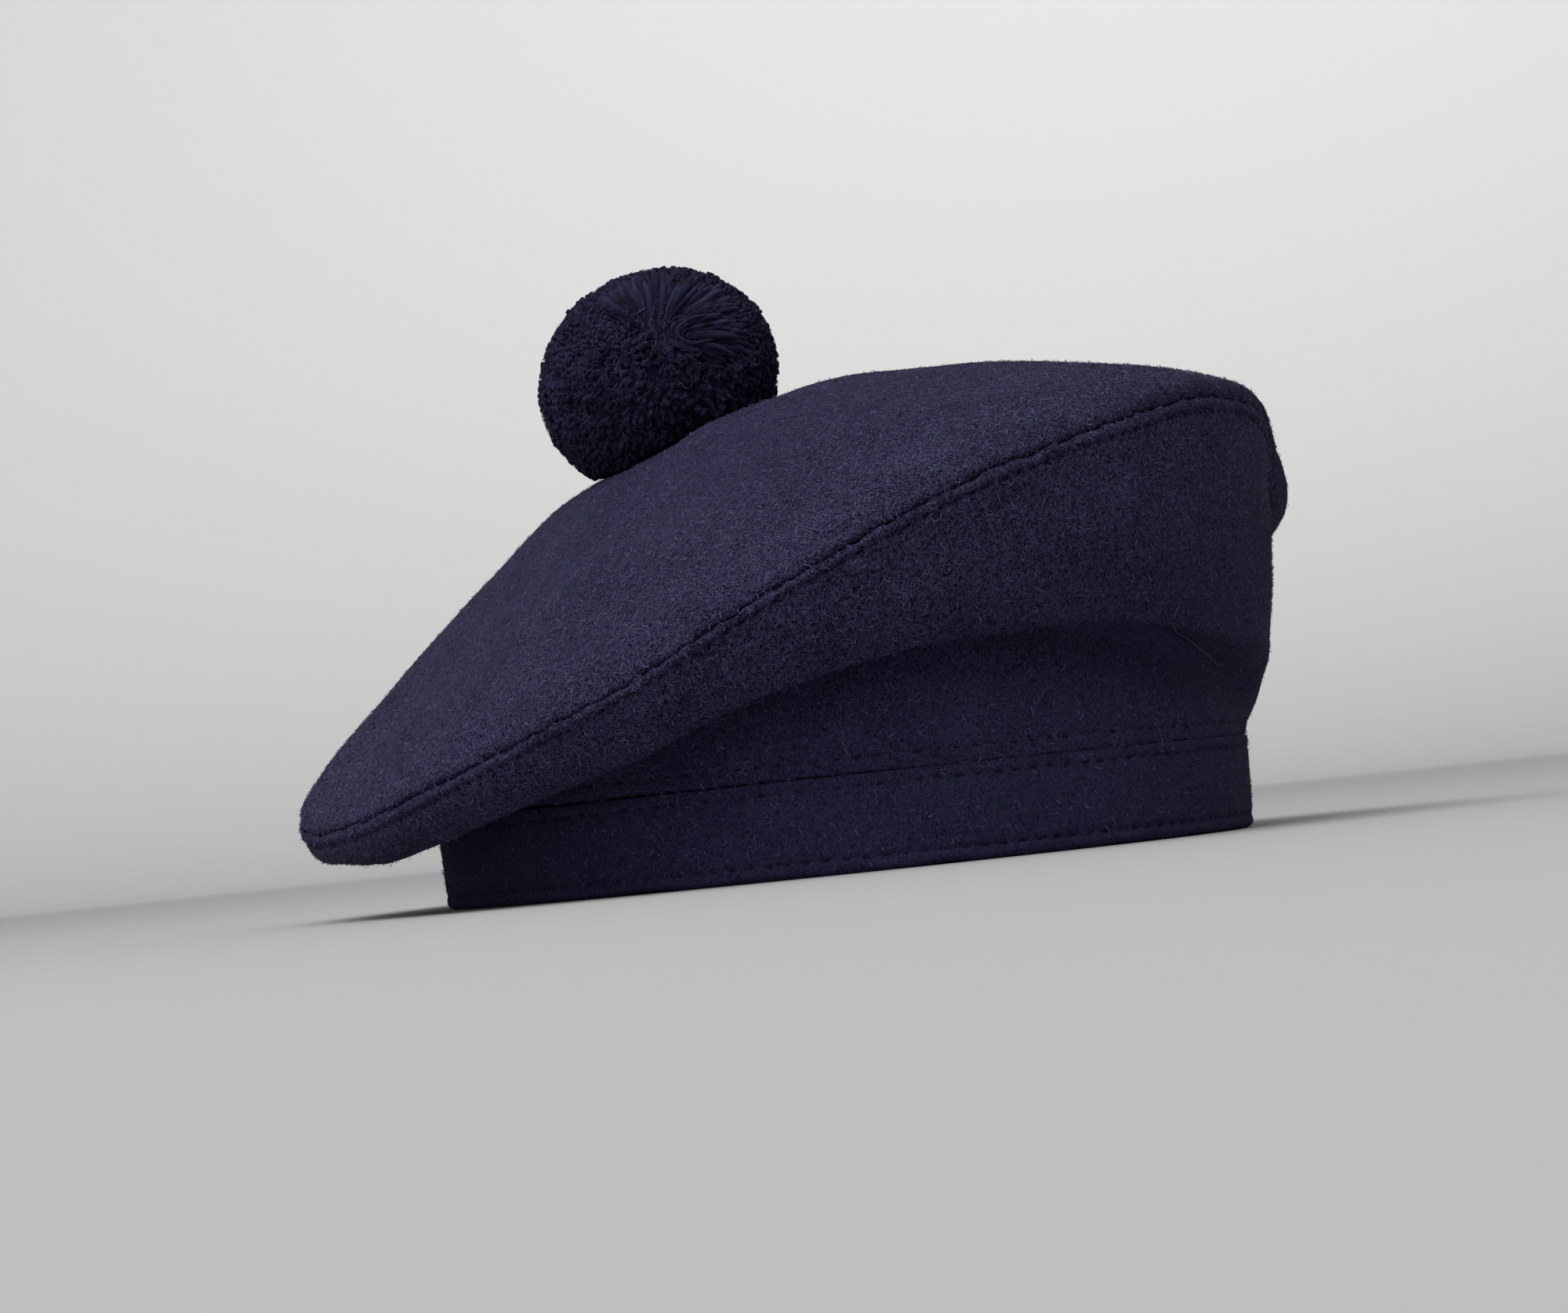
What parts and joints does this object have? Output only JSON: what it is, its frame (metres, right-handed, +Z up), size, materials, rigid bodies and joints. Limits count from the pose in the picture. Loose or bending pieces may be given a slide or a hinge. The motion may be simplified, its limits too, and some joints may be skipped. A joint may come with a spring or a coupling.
{
  "type": "tam o'shanter",
  "caption": "Soft round wool bonnet with a flat folded headband, a full crown slouched to one side over an outer seam, and a yarn pompom on top.",
  "frame": {"origin": "under the middle of the hat's bounding box, in the plane of the rim that it rests on", "axes": "+Z up from the rim, wearer's face towards -Y, wearer's left towards +X, so the crown slouches towards -X"},
  "size_m": [0.2156, 0.2452, 0.13],
  "materials": {
    "melton_wool": "matt milled wool cloth with a short raised nap",
    "wool_yarn": "matt cut wool yarn"
  },
  "bodies": {
    "root": {"headband": "melton_wool", "crown_side": "melton_wool", "crown_top": "melton_wool", "pompom": "wool_yarn"}
  },
  "joints": []
}
